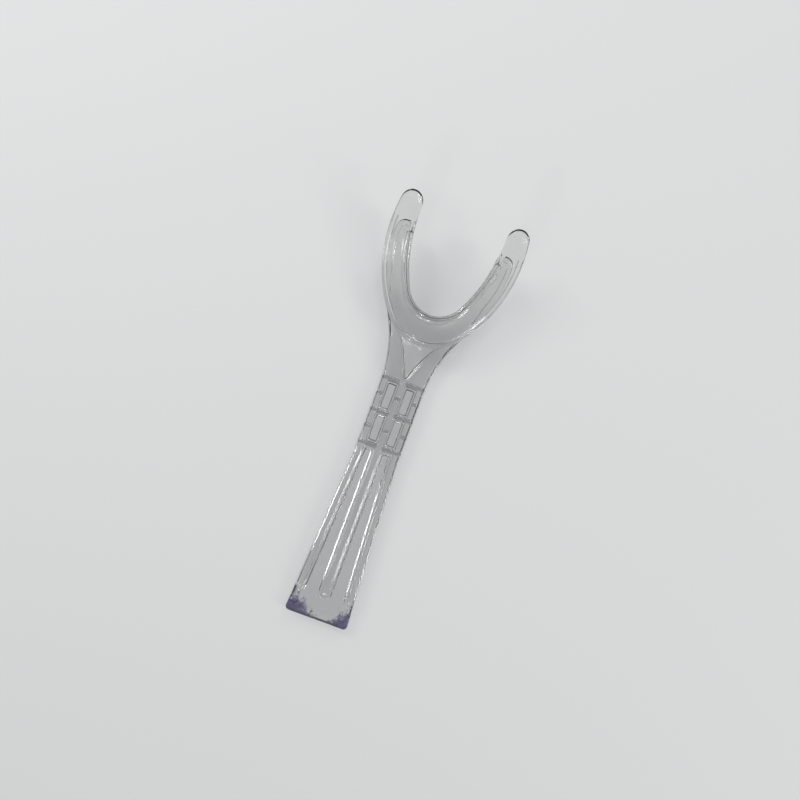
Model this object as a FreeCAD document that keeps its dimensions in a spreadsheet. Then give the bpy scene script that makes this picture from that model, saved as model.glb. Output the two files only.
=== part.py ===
import FreeCAD, Part
import math
import os
import Sketcher

# Cheek retractor, Y pattern, moulded in one shot from clear polycarbonate.
# A tapered I-section handle with a ribbed finger grip forks at the neck into a
# U-shaped lip channel: a skin flange, a channel wall and a longer tooth flange.
# The moulding is kept as its named regions, which meet face to face.
#
# Frame: millimetres, X across, +Y from the handle towards the prongs, +Z up with
# the tooth flange on top. The origin is the middle of the footprint, on the plane
# that the handle's rails stand on. "Stations" are distances along Y from the
# square end of the handle.

SIZES = [
    # alias, value, meaning
    ("overall_length", 160.0, "square end of the handle to the tips of the prongs"),
    ("end_width", 24.6, "width of the handle at its square end"),
    ("grip_width", 17.2, "width of the handle over the finger grip"),
    ("grip_length", 30.6, "length of the parallel part that carries the grip"),
    ("neck_length", 13.6, "length of the neck, from the grip to the rim at the bight"),
    ("head_length", 50.8, "length of the head, from the rim at the bight to the tips"),
    ("handle_height", 5.0, "height of the side rails"),
    ("rail_width", 2.6, "width of a side rail"),
    ("web_thickness", 1.6, "thickness of the web between the rails"),
    ("spine_width", 2.2, "width of the centre ribs"),
    ("pad_length", 8.0, "length of the plain pad at the square end"),
    ("pad_thickness", 3.0, "thickness of the pad"),
    ("pad_corner", 1.6, "corner radius of the pad, in plan"),
    ("bar_width", 1.5, "width of a grip bar, along the handle"),
    ("neck_inset", 1.1, "distance from the neck to the middle of the nearest row"),
    ("taper_inset", 3.7, "distance from the taper to the middle of the nearest row"),
    ("ridge_rise", 0.5, "height of the grip's ridges above the rails"),
    ("rim_radius", 18.0, "radius of the tooth flange's rim at the bight"),
    ("rim_arm_radius", 50.0, "radius of the tooth flange's rim along a prong"),
    ("head_width", 50.8, "width over the tooth flange's rims"),
    ("rim_setback", 0.6, "how much narrower the skin flange is than the tooth flange"),
    ("throat_depth", 38.8, "depth of the U, from the tips to the throat at the bight"),
    ("throat_radius", 11.0, "radius of the throat at the bight"),
    ("throat_arm_radius", 57.0, "radius of the throat along a prong"),
    ("mouth_width", 32.8, "width between the prongs"),
    ("skin_setback", 8.0, "how much sooner the skin flange's prongs end"),
    ("wall_setback", 9.0, "how much sooner the channel wall ends"),
    ("bow_lead", 1.2, "how far before the rim the head starts to bow upwards"),
    ("bow_radius", 110.0, "radius of the bow, to the underside of the skin flange"),
    ("skin_thickness", 2.0, "thickness of the skin flange"),
    ("wall_thickness", 1.8, "thickness of the channel wall"),
    ("channel_gap", 7.0, "clear gap of the lip channel"),
    ("tooth_thickness", 1.8, "thickness of the tooth flange"),
    ("flare_lead", 5.0, "how far before the neck the centre of its flare lies"),
    ("fork_radius", 50.0, "radius of the inner side of the neck's arms"),
    ("fork_width", 17.6, "width of the crotch where that side turns straight"),
    ("fork_overrun", 2.6, "how far past the rim at the bight that happens"),
]

LEFT, RIGHT = -1, 1
START, END, CENTRE = 1, 2, 3  # the Sketcher's numbers for the points of an arc
ORIGIN, H_AXIS, V_AXIS = -1, -1, -2  # the Sketcher's numbers for its own axes
PARTS = []

doc = FreeCAD.newDocument("cheek_retractor")
sheet = doc.addObject("Spreadsheet::Sheet", "sizes")
for row, (alias, value, meaning) in enumerate(SIZES, start=1):
    sheet.set(f"A{row}", meaning)
    sheet.set(f"B{row}", str(value))
    sheet.setAlias(f"B{row}", alias)
doc.recompute()


def named(text):
    """Turns each <size> in text into a reference to the sheet."""
    for alias, _, _ in sorted(SIZES, key=lambda row: -len(row[0])):
        text = text.replace(f"<{alias}>", f"sizes.{alias}")
    return text


def value_of(text):
    """What an expression of sizes is worth now, in millimetres."""
    found = sheet.evalExpression(named(text))
    return float(getattr(found, "Value", found))


def bind(thing, prop, text):
    thing.setExpression(prop, named(text))


# Places and sizes that more than one piece uses, worked out from the sheet.
# A station is a distance along Y from the square end.
RIM_STATION = "(<overall_length> - <head_length>)"
NECK_STATION = f"({RIM_STATION} - <neck_length>)"
TAPER_STATION = f"({NECK_STATION} - <grip_length>)"
THROAT_STATION = "(<overall_length> - <throat_depth>)"
BOW_STATION = f"({RIM_STATION} - <bow_lead>)"
FRAME_SHIFT = "-<overall_length> / 2"
HALF_SPINE = "<spine_width> / 2"
HALF_GRIP = "<grip_width> / 2"
HALF_END = "<end_width> / 2"
TAPER = f"(<end_width> - <grip_width>) / 2 / {TAPER_STATION}"
HALF_AT_PAD = f"(<end_width> / 2 - {TAPER} * <pad_length>)"
WEB_FLOOR = "(<handle_height> - <web_thickness>) / 2"
WEB_TOP = "(<handle_height> + <web_thickness>) / 2"
SKIN_FLOOR = "(<handle_height> - <skin_thickness>) / 2"
BOW_AXIS = f"({SKIN_FLOOR} + <bow_radius>)"


def keep(thing, label):
    """Marks an object as a finished sub-part; its label names its file."""
    thing.Label = label
    PARTS.append(thing)
    return thing


# ---------------------------------------------------------------- sketches


def add(sketch, *facts, text=None):
    """Adds one constraint, bound to an expression of sizes where it has one."""
    if text is None:
        return sketch.addConstraint(Sketcher.Constraint(*facts))
    index = sketch.addConstraint(Sketcher.Constraint(*facts, value_of(text)))
    bind(sketch, f"Constraints[{index}]", text)
    return index


def flat_sketch(name, body=None, floor="0"):
    """A sketch in stations: its X is across and its Y runs from the square end."""
    if body is None:
        sketch = doc.addObject("Sketcher::SketchObject", name)
        where = "Placement"
    else:
        sketch = body.newObject("Sketcher::SketchObject", name)
        plane = next(f for f in body.Origin.OriginFeatures if f.Role == "XY_Plane")
        sketch.AttachmentSupport = [(plane, "")]
        sketch.MapMode = "FlatFace"
        where = "AttachmentOffset"
    bind(sketch, f"{where}.Base.y", FRAME_SHIFT)
    bind(sketch, f"{where}.Base.z", floor)
    return sketch


def spot(x, y):
    return FreeCAD.Vector(x, y, 0)


def beyond(start, end, distance):
    """The point that lies distance past end, seen from start."""
    return end + (end - start).normalize() * distance


def mirrored(point):
    return spot(-point.x, point.y)


def across(sketch, element, point, side, text):
    """Sets how far a point lies from the axis, on its own side of it."""
    pair = [(ORIGIN, 1), (element, point)]
    first, second = pair if side == RIGHT else reversed(pair)
    add(sketch, "DistanceX", *first, *second, text=text)


def polygon(sketch, corners):
    """Closed outline through corners, each a pair of expressions (across, station)."""
    points = [spot(value_of(x), value_of(y)) for x, y in corners]
    edges = []
    for here, there in zip(points, points[1:] + points[:1]):
        edges.append(sketch.addGeometry(Part.LineSegment(here, there)))
    for index, edge in enumerate(edges):
        add(sketch, "Coincident", edge, END, edges[(index + 1) % len(edges)], START)
    for edge, point, (offset, station) in zip(edges, points, corners):
        if point.x < 0:
            across(sketch, edge, START, LEFT, f"-({offset})")
        else:
            across(sketch, edge, START, RIGHT, offset)
        if station == "0":
            add(sketch, "PointOnObject", edge, START, H_AXIS)
        else:
            add(sketch, "DistanceY", ORIGIN, 1, edge, START, text=station)


def padded_body(label, corners, floor, height):
    """A body made by padding a polygon from floor upwards."""
    body = doc.addObject("PartDesign::Body", label)
    sketch = flat_sketch(f"{label}_plan", body, floor)
    polygon(sketch, corners)
    pad = body.newObject("PartDesign::Pad", f"{label}_pad")
    pad.Profile = sketch
    bind(pad, "Length", height)
    doc.recompute()
    return keep(body, label)


def arc(sketch, centre, radius, start, end):
    """An arc that runs anticlockwise about centre from the point start to end."""
    angles = [math.atan2(p.y - centre.y, p.x - centre.x) for p in (start, end)]
    circle = Part.Circle(centre, FreeCAD.Vector(0, 0, 1), radius)
    return sketch.addGeometry(Part.ArcOfCircle(circle, *angles))


class Edge:
    """One edge of a U in plan: an arc at the bight, centred on the axis, and an
    arm arc each side, whose centre lies across the axis by the arm offset."""

    def __init__(self, radius, station, arm_radius, arm_offset):
        self.texts = (radius, f"({station} + {radius})", arm_radius, arm_offset)
        self.radius, height, self.arm_radius, offset = (value_of(t) for t in self.texts)
        self.centre = spot(0, height)
        reach = self.arm_radius - self.radius
        self.arm_centre = spot(-offset, height + math.sqrt(reach**2 - offset**2))
        self.join = beyond(self.arm_centre, self.centre, self.radius)

    def draw_bight(self, sketch):
        made = arc(sketch, self.centre, self.radius, mirrored(self.join), self.join)
        add(sketch, "PointOnObject", made, CENTRE, V_AXIS)
        add(sketch, "DistanceY", ORIGIN, 1, made, CENTRE, text=self.texts[1])
        add(sketch, "Radius", made, text=self.texts[0])
        return made

    def draw_arm(self, sketch, bight, side, end):
        """The arm arc on one side, up to the point end, given for the right side."""
        if side == RIGHT:
            made = arc(sketch, self.arm_centre, self.arm_radius, self.join, end)
            add(sketch, "Tangent", bight, END, made, START)
        else:
            centre, start = mirrored(self.arm_centre), mirrored(self.join)
            made = arc(sketch, centre, self.arm_radius, mirrored(end), start)
            add(sketch, "Tangent", bight, START, made, END)
        add(sketch, "Radius", made, text=self.texts[2])
        across(sketch, made, CENTRE, -side, self.texts[3])
        return made


def rim(setback):
    """The outer edge of a flange that is narrower than the tooth flange by setback."""
    return Edge(
        f"(<rim_radius> - {setback})",
        f"({RIM_STATION} + {setback})",
        f"(<rim_arm_radius> - {setback})",
        "(<rim_arm_radius> - <head_width> / 2)",
    )


def throat(growth):
    """The inner edge of the U, or an edge that lies outside it by growth."""
    return Edge(
        f"(<throat_radius> + {growth})",
        f"({THROAT_STATION} - {growth})",
        f"(<throat_arm_radius> + {growth})",
        "(<throat_arm_radius> - <mouth_width> / 2)",
    )


def tip_between(inner, outer, end):
    """Centre and radius of the tip that touches both arm arcs and ends at end."""
    low, high = 0.0, outer.radius
    for _ in range(60):
        radius = (low + high) / 2
        height = end - radius
        inside = math.sqrt((inner.arm_radius + radius) ** 2 - (height - inner.arm_centre.y) ** 2)
        outside = math.sqrt((outer.arm_radius - radius) ** 2 - (height - outer.arm_centre.y) ** 2)
        if inner.arm_centre.x + inside < outer.arm_centre.x + outside:
            low = radius
        else:
            high = radius
    return spot(inner.arm_centre.x + inside, height), radius


def horseshoe(name, inner, outer, end):
    """A U in plan between two edges, with round tips that end at a station."""
    sketch = flat_sketch(name)
    tip, size = tip_between(inner, outer, value_of(end))
    tip_in = tip + (inner.arm_centre - tip).normalize() * size
    tip_out = beyond(outer.arm_centre, tip, size)
    inner_bight = inner.draw_bight(sketch)
    outer_bight = outer.draw_bight(sketch)
    for side in (RIGHT, LEFT):
        inner_arm = inner.draw_arm(sketch, inner_bight, side, tip_in)
        outer_arm = outer.draw_arm(sketch, outer_bight, side, tip_out)
        middle = tip if side == RIGHT else mirrored(tip)
        if side == RIGHT:
            cap = arc(sketch, middle, size, tip_out, tip_in)
            add(sketch, "Tangent", outer_arm, END, cap, START)
            add(sketch, "Tangent", inner_arm, END, cap, END)
        else:
            cap = arc(sketch, middle, size, mirrored(tip_in), mirrored(tip_out))
            add(sketch, "Tangent", inner_arm, START, cap, START)
            add(sketch, "Tangent", outer_arm, START, cap, END)
        top = sketch.addGeometry(Part.Point(middle + spot(0, size)), True)
        add(sketch, "PointOnObject", top, START, cap)
        add(sketch, "Vertical", top, START, cap, CENTRE)
        add(sketch, "DistanceY", ORIGIN, 1, top, START, text=end)
    return sketch


# ---------------------------------------------------------------- solids


def upright(name, sketch, floor, height):
    """A prism on a plan sketch, from floor upwards."""
    prism = doc.addObject("Part::Extrusion", name)
    prism.Base = sketch
    prism.DirMode = "Custom"
    prism.Dir = FreeCAD.Vector(0, 0, 1)
    prism.Solid = True
    bind(prism, "LengthFwd", height)
    bind(prism, "Placement.Base.z", floor)
    return prism


def roller(name, radius):
    """A cylinder on the bow's axis, which runs across the head."""
    cylinder = doc.addObject("Part::Cylinder", name)
    cylinder.Placement.Rotation = FreeCAD.Rotation(FreeCAD.Vector(0, 1, 0), 90)
    bind(cylinder, "Radius", radius)
    bind(cylinder, "Height", "<overall_length>")
    bind(cylinder, "Placement.Base.x", "-<overall_length> / 2")
    bind(cylinder, "Placement.Base.y", f"{BOW_STATION} - <overall_length> / 2")
    bind(cylinder, "Placement.Base.z", BOW_AXIS)
    return cylinder


def boolean(kind, name, base, tool):
    made = doc.addObject(f"Part::{kind}", name)
    made.Base = base
    made.Tool = tool
    return made


def bowed(label, sketch, under, over):
    """The part of a plan that lies between two radii of the bow."""
    prism = upright(f"{label}_prism", sketch, "0", "<bow_radius> / 2")
    outside = roller(f"{label}_under", under)
    inside = roller(f"{label}_over", over)
    shell = boolean("Cut", f"{label}_shell", outside, inside)
    return keep(boolean("Common", label, prism, shell), label)


def box(name, corner, size):
    """A box; corner and size are three expressions each, corner's Y a station."""
    made = doc.addObject("Part::Box", name)
    for prop, text in zip(("Length", "Width", "Height"), size):
        bind(made, prop, text)
    bind(made, "Placement.Base.x", corner[0])
    bind(made, "Placement.Base.y", f"{corner[1]} - <overall_length> / 2")
    bind(made, "Placement.Base.z", corner[2])
    return made


def group(label, members):
    """Like solids that share one node."""
    made = doc.addObject("Part::Compound", label)
    made.Links = members
    return keep(made, label)


# ---------------------------------------------------------------- handle


def make_pad():
    """The plain pad at the square end, with rounded corners."""
    body = padded_body(
        "end_pad",
        [
            (f"-{HALF_END}", "0"),
            (HALF_END, "0"),
            (HALF_AT_PAD, "<pad_length>"),
            (f"-{HALF_AT_PAD}", "<pad_length>"),
        ],
        "(<handle_height> - <pad_thickness>) / 2",
        "<pad_thickness>",
    )
    last = body.Tip
    corners = []
    for index, edge in enumerate(last.Shape.Edges, start=1):
        ends = [v.Point for v in edge.Vertexes]
        upright_edge = abs(ends[0].x - ends[1].x) < 1e-6 and abs(ends[0].y - ends[1].y) < 1e-6
        if upright_edge and abs(ends[0].y - value_of(FRAME_SHIFT)) < 1e-6:
            corners.append(f"Edge{index}")
    rounding = body.newObject("PartDesign::Fillet", "end_pad_corners")
    rounding.Base = (last, corners)
    bind(rounding, "Radius", "<pad_corner>")
    doc.recompute()


def make_web():
    """The thin web between the rails."""
    inside_pad = f"({HALF_AT_PAD} - <rail_width>)"
    inside_grip = f"({HALF_GRIP} - <rail_width>)"
    outline = [
        (inside_pad, "<pad_length>"),
        (inside_grip, TAPER_STATION),
        (inside_grip, NECK_STATION),
    ]
    left = [(f"-{x}", y) for x, y in reversed(outline)]
    padded_body("handle_web", outline + left, WEB_FLOOR, "<web_thickness>")


def make_rails():
    """The two side rails, which stand proud of the web on both faces."""
    for label, sign in (("left_rail", "-"), ("right_rail", "")):
        outside = [
            (f"{sign}{HALF_AT_PAD}", "<pad_length>"),
            (f"{sign}{HALF_GRIP}", TAPER_STATION),
            (f"{sign}{HALF_GRIP}", NECK_STATION),
        ]
        inside = [
            (f"{sign}({HALF_GRIP} - <rail_width>)", NECK_STATION),
            (f"{sign}({HALF_GRIP} - <rail_width>)", TAPER_STATION),
            (f"{sign}({HALF_AT_PAD} - <rail_width>)", "<pad_length>"),
        ]
        padded_body(label, outside + inside, "0", "<handle_height>")


def make_spines():
    """The centre ribs, one above the web and one below it."""
    size = ("<spine_width>", f"{NECK_STATION} - <pad_length>", WEB_FLOOR)
    for label, floor in (("lower_centre_rib", "0"), ("upper_centre_rib", WEB_TOP)):
        keep(box(label, (f"-{HALF_SPINE}", "<pad_length>", floor), size), label)


def row_station(row):
    """Station of the lower side of a row of the grip. Row 0 is next to the neck and
    row 4 next to the taper, and the rest are spaced evenly between them."""
    pitch = "(<grip_length> - <neck_inset> - <taper_inset>) / 4"
    return f"{NECK_STATION} - <neck_inset> - {row} * {pitch} - <bar_width> / 2"


def make_grip():
    """Five rows. Every other row is a bar across both channels with a long ridge
    over it. The rows between have short ridges on the rails and the centre rib."""
    inside = f"({HALF_GRIP} - <rail_width>)"
    long_ridge = f"({HALF_GRIP} - {HALF_SPINE})"
    for face, floor in (("lower", "0"), ("upper", WEB_TOP)):
        bars = []
        for row in (0, 2, 4):
            for side, corner in (("left", f"-{inside}"), ("right", HALF_SPINE)):
                size = (f"{inside} - {HALF_SPINE}", "<bar_width>", WEB_FLOOR)
                bars.append(box(f"{face}_bar_{side}_{row}", (corner, row_station(row), floor), size))
        group(f"{face}_grip_bars", bars)
    ridges = []
    size = (long_ridge, "<bar_width>", "<ridge_rise>")
    for row in (0, 2, 4):
        for side, edge in (("left", f"-{HALF_GRIP}"), ("right", HALF_SPINE)):
            corner = (edge, row_station(row), "<handle_height>")
            ridges.append(box(f"long_ridge_{side}_{row}", corner, size))
    group("grip_long_ridges", ridges)
    bumps = []
    spans = (
        ("left", f"-{HALF_GRIP}", "<rail_width>"),
        ("centre", f"-{HALF_SPINE}", "<spine_width>"),
        ("right", inside, "<rail_width>"),
    )
    for row in (1, 3):
        for side, edge, width in spans:
            corner = (edge, row_station(row), "<handle_height>")
            size = (width, "<bar_width>", "<ridge_rise>")
            bumps.append(box(f"short_ridge_{side}_{row}", corner, size))
    group("grip_short_ridges", bumps)


# ---------------------------------------------------------------- head


def make_head():
    """The lip channel: skin flange, channel wall and tooth flange on one bow."""
    skin_top = "(<bow_radius> - <skin_thickness>)"
    wall_top = f"({skin_top} - <channel_gap>)"
    tooth_top = f"({wall_top} - <tooth_thickness>)"
    inside = throat("0")
    skin_end = "<overall_length> - <skin_setback>"
    wall_end = "<overall_length> - <wall_setback>"
    skin = horseshoe("skin_flange_plan", inside, rim("<rim_setback>"), skin_end)
    wall = horseshoe("channel_wall_plan", inside, throat("<wall_thickness>"), wall_end)
    tooth = horseshoe("tooth_flange_plan", inside, rim("0"), "<overall_length>")
    bowed("skin_flange", skin, "<bow_radius>", skin_top)
    bowed("channel_wall", wall, skin_top, wall_top)
    bowed("tooth_flange", tooth, wall_top, tooth_top)


# ---------------------------------------------------------------- neck


def inside_of_rim():
    """Everything inside the skin flange's rim, up to half way along the prongs."""
    sketch = flat_sketch("inside_of_rim_plan")
    edge = rim("<rim_setback>")
    station = "<overall_length> - <throat_depth> / 2"
    height = value_of(station)
    reach = math.sqrt(edge.arm_radius**2 - (height - edge.arm_centre.y) ** 2)
    corner = spot(edge.arm_centre.x + reach, height)
    bight = edge.draw_bight(sketch)
    right = edge.draw_arm(sketch, bight, RIGHT, corner)
    left = edge.draw_arm(sketch, bight, LEFT, corner)
    lid = sketch.addGeometry(Part.LineSegment(mirrored(corner), corner))
    add(sketch, "Coincident", lid, START, left, START)
    add(sketch, "Coincident", lid, END, right, END)
    for arm, end in ((right, END), (left, START)):
        add(sketch, "DistanceY", ORIGIN, 1, arm, end, text=station)
    return upright("inside_of_rim", sketch, "-<handle_height>", "3 * <handle_height>")


def draw_fork(sketch, side):
    """The inner side of one arm of the neck: an arc from the centre rib, then a
    straight line up to the middle of the rim's circle, which the rim hides.
    Returns the arc and its foot, the line, and where foot and line's end lie."""
    turn = f"{RIM_STATION} + <fork_overrun>"
    root = f"{RIM_STATION} + <rim_radius>"
    radius = value_of("<fork_radius>")
    foot = spot(value_of(HALF_SPINE), value_of(NECK_STATION))
    head = spot(value_of("<fork_width> / 2"), value_of(turn))
    top = spot(head.x, value_of(root))
    half = (head - foot) * 0.5
    unit = half / half.Length
    centre = foot + half + spot(unit.y, -unit.x) * math.sqrt(radius**2 - half.Length**2)
    if side == RIGHT:
        made, low, high = arc(sketch, centre, radius, head, foot), END, START
    else:
        foot, head, top, centre = (mirrored(p) for p in (foot, head, top, centre))
        made, low, high = arc(sketch, centre, radius, foot, head), START, END
    add(sketch, "Radius", made, text="<fork_radius>")
    for point, width, where in ((low, HALF_SPINE, NECK_STATION), (high, "<fork_width> / 2", turn)):
        across(sketch, made, point, side, width)
        add(sketch, "DistanceY", ORIGIN, 1, made, point, text=where)
    rise = sketch.addGeometry(Part.LineSegment(head, top))
    add(sketch, "Coincident", rise, START, made, high)
    add(sketch, "Vertical", rise)
    add(sketch, "DistanceY", ORIGIN, 1, rise, END, text=root)
    return made, low, rise, foot, top


def join(sketch, first, first_point, second, second_point, start, end):
    """A straight edge between two ends that are already drawn."""
    made = sketch.addGeometry(Part.LineSegment(start, end))
    add(sketch, "Coincident", made, START, first, first_point)
    add(sketch, "Coincident", made, END, second, second_point)


def make_neck_web(keep_out):
    """The thin web in the crotch of the Y."""
    plan = flat_sketch("neck_web_plan")
    right, right_low, right_rise, right_foot, right_top = draw_fork(plan, RIGHT)
    left, left_low, left_rise, left_foot, left_top = draw_fork(plan, LEFT)
    join(plan, left, left_low, right, right_low, left_foot, right_foot)
    join(plan, left_rise, END, right_rise, END, left_top, right_top)
    prism = upright("neck_web_prism", plan, WEB_FLOOR, "<web_thickness>")
    keep(boolean("Cut", "neck_web", prism, keep_out), "neck_web")


def make_neck_arm(label, side, keep_out):
    """One thick arm of the Y. Its outer side flares from the rail until it runs
    along the rim of the skin flange."""
    plan = flat_sketch(f"{label}_plan")
    fork, fork_low, rise, fork_foot, top = draw_fork(plan, side)
    edge = rim("<rim_setback>")
    foot = spot(value_of(HALF_GRIP), value_of(NECK_STATION))
    run = foot - edge.arm_centre
    radius = (run.Length**2 - edge.arm_radius**2) / (2 * (edge.arm_radius - run.x))
    centre = foot + spot(radius, 0)
    touch = edge.arm_centre + (centre - edge.arm_centre).normalize() * edge.arm_radius
    bight = edge.draw_bight(plan)
    guide = edge.draw_arm(plan, bight, side, touch)
    add(plan, "Symmetric", bight, START, bight, END, V_AXIS)
    plan.setConstruction(bight, True)
    plan.setConstruction(guide, True)
    if side == RIGHT:
        flare, low, high, along = arc(plan, centre, radius, touch, foot), END, START, END
    else:
        foot, centre, touch = (mirrored(p) for p in (foot, centre, touch))
        flare, low, high, along = arc(plan, centre, radius, foot, touch), START, END, START
    add(plan, "Tangent", flare, high, guide, along)
    across(plan, flare, low, side, HALF_GRIP)
    add(plan, "DistanceY", ORIGIN, 1, flare, low, text=NECK_STATION)
    add(plan, "DistanceY", ORIGIN, 1, flare, CENTRE, text=f"{NECK_STATION} - <flare_lead>")
    join(plan, fork, fork_low, flare, low, fork_foot, foot)
    join(plan, rise, END, flare, high, top, touch)
    prism = upright(f"{label}_prism", plan, "0", "<handle_height>")
    keep(boolean("Cut", label, prism, keep_out), label)


def make_neck():
    keep_out = inside_of_rim()
    make_neck_web(keep_out)
    make_neck_arm("neck_left_arm", LEFT, keep_out)
    make_neck_arm("neck_right_arm", RIGHT, keep_out)


make_pad()
make_web()
make_rails()
make_spines()
make_grip()
make_head()
make_neck()
doc.recompute()

# ---------------------------------------------------------------- checks and export

for thing in doc.Objects:
    if "Invalid" in thing.State or "Error" in thing.State:
        raise RuntimeError(f"{thing.Name} failed: {thing.State}")
    if thing.TypeId == "Sketcher::SketchObject" and thing.solve() != 0:
        raise RuntimeError(f"sketch {thing.Name} doesn't solve")
os.makedirs("parts", exist_ok=True)
for piece in PARTS:
    shape = piece.Shape
    if shape.isNull() or not shape.isValid() or not shape.Solids:
        raise RuntimeError(f"{piece.Label} has no valid solid")
    box_of = shape.BoundBox
    print(
        f"{piece.Label}: {len(shape.Solids)} solids, {shape.Volume:.1f} mm3, "
        f"x {box_of.XMin:.2f}..{box_of.XMax:.2f} y {box_of.YMin:.2f}..{box_of.YMax:.2f} "
        f"z {box_of.ZMin:.2f}..{box_of.ZMax:.2f}"
    )
    shape.exportStep(f"parts/{piece.Label}.step")
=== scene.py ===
# %% [markdown]
# # A clear cheek retractor
# The real object is one injection moulding of clear polycarbonate. A ribbed handle
# forks into a U-shaped head with two flanges and a channel between them, which holds
# the lip. Clear plastic shows both its faces at once, so this lesson builds it as one
# closed skin with every edge rounded. Separate boxes pushed together would show their
# hidden ends through the plastic.
#
# The first cell loads the fixed frame, which says how big each region is and where.

# %% Load the frame
import math

import bpy
import numpy as np
import openvdb
from mathutils import Matrix, Vector


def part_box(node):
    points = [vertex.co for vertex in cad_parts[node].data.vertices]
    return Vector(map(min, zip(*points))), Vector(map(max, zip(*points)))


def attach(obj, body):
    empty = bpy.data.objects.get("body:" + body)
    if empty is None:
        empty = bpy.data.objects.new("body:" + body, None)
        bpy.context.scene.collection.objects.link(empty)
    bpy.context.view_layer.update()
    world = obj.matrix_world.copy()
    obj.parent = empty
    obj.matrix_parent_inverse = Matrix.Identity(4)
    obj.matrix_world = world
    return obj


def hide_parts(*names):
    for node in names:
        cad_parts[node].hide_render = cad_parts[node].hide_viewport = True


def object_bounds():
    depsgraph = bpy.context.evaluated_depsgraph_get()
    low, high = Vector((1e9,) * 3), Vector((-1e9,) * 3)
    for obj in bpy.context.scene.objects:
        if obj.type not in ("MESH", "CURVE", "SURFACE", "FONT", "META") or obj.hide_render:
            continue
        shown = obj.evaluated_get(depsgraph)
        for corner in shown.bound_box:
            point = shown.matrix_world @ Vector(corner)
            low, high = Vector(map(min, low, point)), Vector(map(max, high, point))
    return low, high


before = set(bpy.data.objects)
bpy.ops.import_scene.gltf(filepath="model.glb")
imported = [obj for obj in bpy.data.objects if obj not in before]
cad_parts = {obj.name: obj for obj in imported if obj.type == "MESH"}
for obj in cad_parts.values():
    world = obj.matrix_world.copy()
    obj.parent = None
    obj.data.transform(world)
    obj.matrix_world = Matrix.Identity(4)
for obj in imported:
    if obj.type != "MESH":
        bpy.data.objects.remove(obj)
cad_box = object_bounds()
MM = 1000.0  # millimetres in a metre: the moulding is worked out in millimetres


def region(name):
    """Lowest and highest corner of one region of the moulding, in millimetres."""
    low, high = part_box(name)
    return np.array(low) * MM, np.array(high) * MM


print("whole part in mm:", [round((b - a) * MM, 1) for a, b in zip(*cad_box)])

# %% [markdown]
# ## Shapes as distances
# A mould maker rounds every edge and puts a fillet in every corner, so that plastic
# flows and the tool lasts. Bevel modifiers struggle where a curved flange, a wall and
# a forked neck all meet. A distance field doesn't: each shape is a function that
# gives how far a point lies outside it, in millimetres, and less than zero inside.
# Joining two shapes takes the smaller distance. A soft minimum leaves a fillet, and a
# soft maximum rounds a cut. The fields here work on whole numpy arrays of points.


# %% Joining, cutting and rounding
def soft_join(first, second, fillet):
    """Union of two distances, with a fillet where they meet."""
    mix = np.clip(0.5 + 0.5 * (second - first) / fillet, 0.0, 1.0)
    return second + (first - second) * mix - fillet * mix * (1.0 - mix)


def soft_cut(solid, pocket, rounding):
    """solid with pocket taken out, and the lip of the pocket rounded."""
    return -soft_join(-solid, pocket, rounding)


def rounded_plate(plan, height, half_height, rounding):
    """A plate with a plan distance and a height above its middle, its edges rounded."""
    across = plan + rounding
    up = np.abs(height) - half_height + rounding
    corner = np.hypot(np.maximum(across, 0.0), np.maximum(up, 0.0))
    return corner + np.minimum(np.maximum(across, up), 0.0) - rounding


def ramp(value, start, end):
    """0 up to start, 1 from end, and a smooth step between them."""
    share = np.clip((value - start) / (end - start), 0.0, 1.0)
    return share * share * (3.0 - 2.0 * share)


print("a fillet of 1 mm fills a corner", -soft_join(0.0, 0.0, 1.0), "mm deep")

# %% [markdown]
# ## Sizes of the handle
# The handle tapers from a wide square end to a parallel grip, and then flares into
# the head. Its widths and thicknesses come from the regions of the frame, so the skin
# follows them if they change. Only what no region's box can say is a number here.

# %% Sizes of the handle
pad_low, pad_high = region("end_pad")
rail_low, rail_high = region("right_rail")
web_low, web_high = region("handle_web")
tooth_low, tooth_high = region("tooth_flange")
skin_low, skin_high = region("skin_flange")
ridge_low, ridge_high = region("grip_long_ridges")

END_Y = pad_low[1]
PAD_TOP_Y = pad_high[1]
NECK_Y = rail_high[1]
HALF_GRIP = ridge_high[0]
RAIL_WIDTH = HALF_GRIP - rail_low[0]
HALF_RIB = region("upper_centre_rib")[1][0]
MIDDLE_Z = (rail_low[2] + rail_high[2]) / 2
HALF_RAIL = (rail_high[2] - rail_low[2]) / 2
HALF_PAD = (pad_high[2] - pad_low[2]) / 2
HALF_WEB = (web_high[2] - web_low[2]) / 2
GRIP_LENGTH = 30.6
TAPER_Y = NECK_Y - GRIP_LENGTH
SLOPE = (rail_high[0] - HALF_GRIP) / (TAPER_Y - PAD_TOP_Y)
print("grip is", round(2 * HALF_GRIP, 1), "mm wide, rails", round(RAIL_WIDTH, 2), "mm")


# %% [markdown]
# ## Edges of the U
# Seen from above, each edge of the head is a tight arc at the closed end and a long,
# shallow arc along each prong. The arcs are tangent, so the edge has no kink. Four
# numbers describe it: the two radii, where the closed end lies, and how wide the U is.


# %% One edge of the U
class UEdge:
    """An edge of the head, in plan, as two tangent arcs each side of the axis."""

    def __init__(self, radius, closed_end, arm_radius, half_width):
        self.radius = radius
        self.arm_radius = arm_radius
        self.centre = np.array([0.0, closed_end + radius])
        aside = arm_radius - half_width
        reach = arm_radius - radius
        self.arm_centre = self.centre + [-aside, math.sqrt(reach**2 - aside**2)]
        self.joint = (self.centre - self.arm_centre) / reach

    def outside(self, x, y):
        """How far outside this edge each point is. x is the distance from the axis."""
        right, up = x - self.centre[0], y - self.centre[1]
        on_bight = self.joint[0] * up - self.joint[1] * right < 0.0
        bight = np.hypot(right, up) - self.radius
        arm = np.hypot(x - self.arm_centre[0], y - self.arm_centre[1]) - self.arm_radius
        return np.where(on_bight, bight, arm)


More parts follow.
